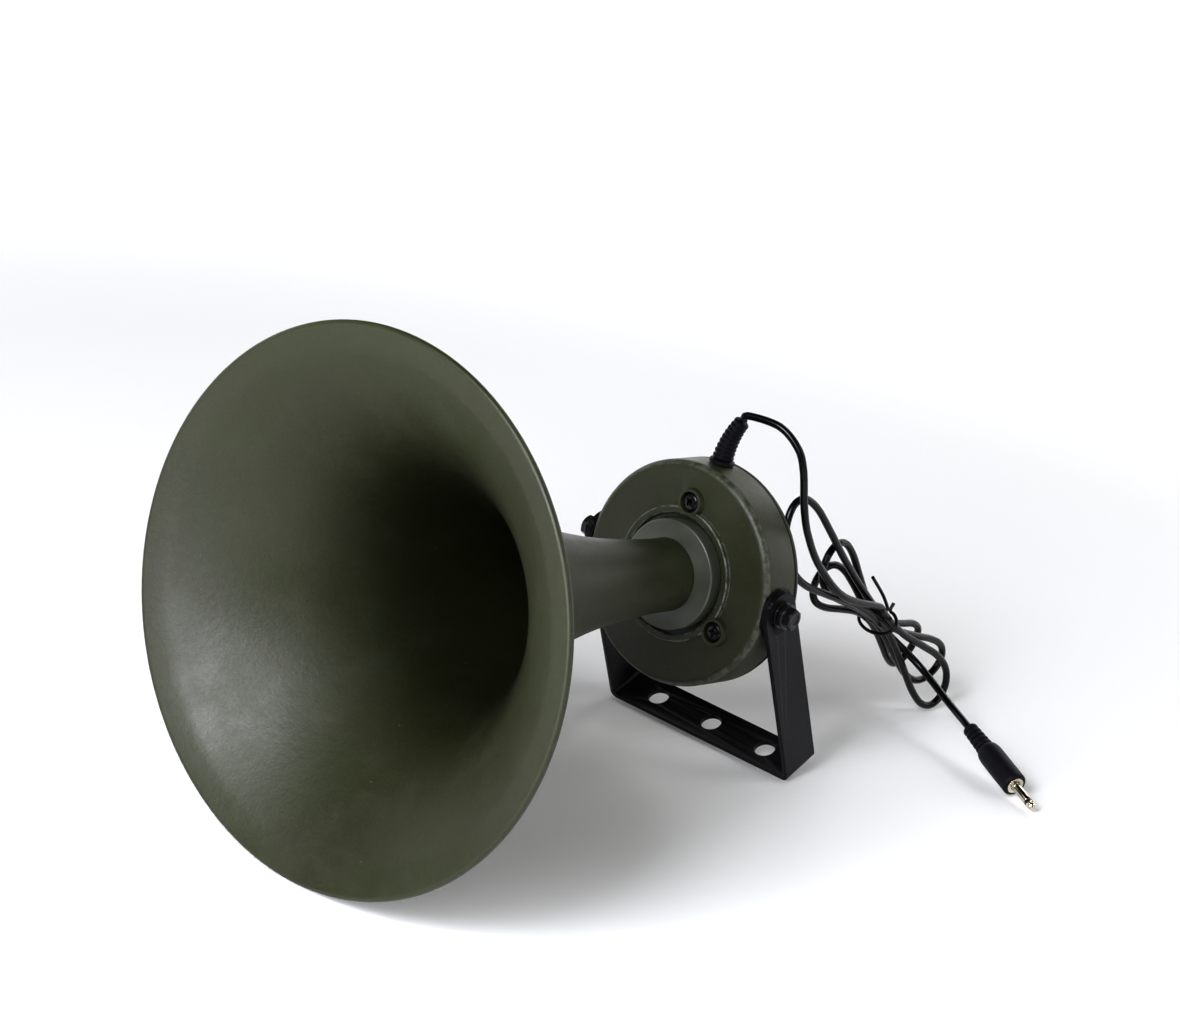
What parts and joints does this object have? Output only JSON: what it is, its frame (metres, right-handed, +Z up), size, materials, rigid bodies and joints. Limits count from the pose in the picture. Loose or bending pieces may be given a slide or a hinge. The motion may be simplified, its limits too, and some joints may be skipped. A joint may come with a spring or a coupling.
{
  "type": "horn loudspeaker",
  "caption": "Horn loudspeaker: flared bell on a drum-shaped compression driver, swivelling U bracket and a tied cord with a small jack plug.",
  "frame": {"origin": "on the floor, halfway between the front of the mouth rim and the back of the bracket, in the plane of symmetry", "axes": "+X to the right of someone facing the mouth, along the pivot axis; the mouth faces -Y, tilted up by 6.7 degrees; +Z up"},
  "size_m": [0.2172, 0.3536, 0.1986],
  "materials": {
    "olive_enamel": "matte olive green, slightly mottled",
    "olive_collar": "smooth semi-gloss olive green",
    "black_painted_steel": "satin black",
    "blackened_steel": "glossy black",
    "black_rubber": "matte",
    "cord_pvc": "glossy black",
    "phenolic": "matte brown",
    "zinc_steel": "zinc plated",
    "ferrite": "matte dark grey",
    "dome_foil": "bright foil",
    "copper_wire": "enamelled copper",
    "coil_film": "amber film",
    "brass": "satin",
    "nickel": "polished nickel",
    "plug_insulator": "glossy black"
  },
  "bodies": {
    "speaker": {"horn": "olive_enamel", "throat_collar": "olive_collar", "driver_case": "olive_enamel", "rear_gasket": "black_rubber", "rear_cover": "olive_enamel", "case_screw_1": "blackened_steel", "case_screw_2": "blackened_steel", "case_screw_3": "blackened_steel", "phase_plate": "phenolic", "clamp_ring": "phenolic", "surround": "black_rubber", "top_plate": "zinc_steel", "ring_magnet": "ferrite", "yoke": "zinc_steel", "terminal_strip": "phenolic", "terminal_lug_1": "brass", "terminal_lug_2": "brass", "lead_wire_1": "cord_pvc", "lead_wire_2": "cord_pvc", "pivot_insert_right": "brass", "pivot_insert_left": "brass", "pivot_bolt_right": "blackened_steel", "pivot_bolt_left": "blackened_steel", "spring_washer_right": "blackened_steel", "spring_washer_left": "blackened_steel", "flat_washer_right": "blackened_steel", "flat_washer_left": "blackened_steel", "rubber_washer_right": "black_rubber", "rubber_washer_left": "black_rubber", "cord_boot": "black_rubber", "cord_lead": "cord_pvc", "cord_hank": "cord_pvc", "hank_tie": "cord_pvc", "cord_tail": "cord_pvc", "plug_body": "black_rubber", "plug_washer": "nickel", "plug_sleeve": "nickel", "plug_insulator": "plug_insulator", "plug_tip": "nickel"},
    "bracket": {"bracket": "black_painted_steel"},
    "diaphragm": {"diaphragm_dome": "dome_foil", "coil_former": "coil_film", "coil_winding": "copper_wire"}
  },
  "joints": [
    {"name": "bracket_swivel", "type": "hinge", "parent": "speaker", "child": "bracket", "pos_m": [0, 0.08138, 0.07675], "axis": [1, 0, 0], "range_deg": [-97, 30]},
    {"name": "diaphragm_stroke", "type": "slide", "parent": "speaker", "child": "diaphragm", "axis": [0, -0.9931, 0.1174], "range_m": [-0.0003, 0.0003], "stiffness_N_per_m": 3000, "deforming": ["surround"]}
  ]
}
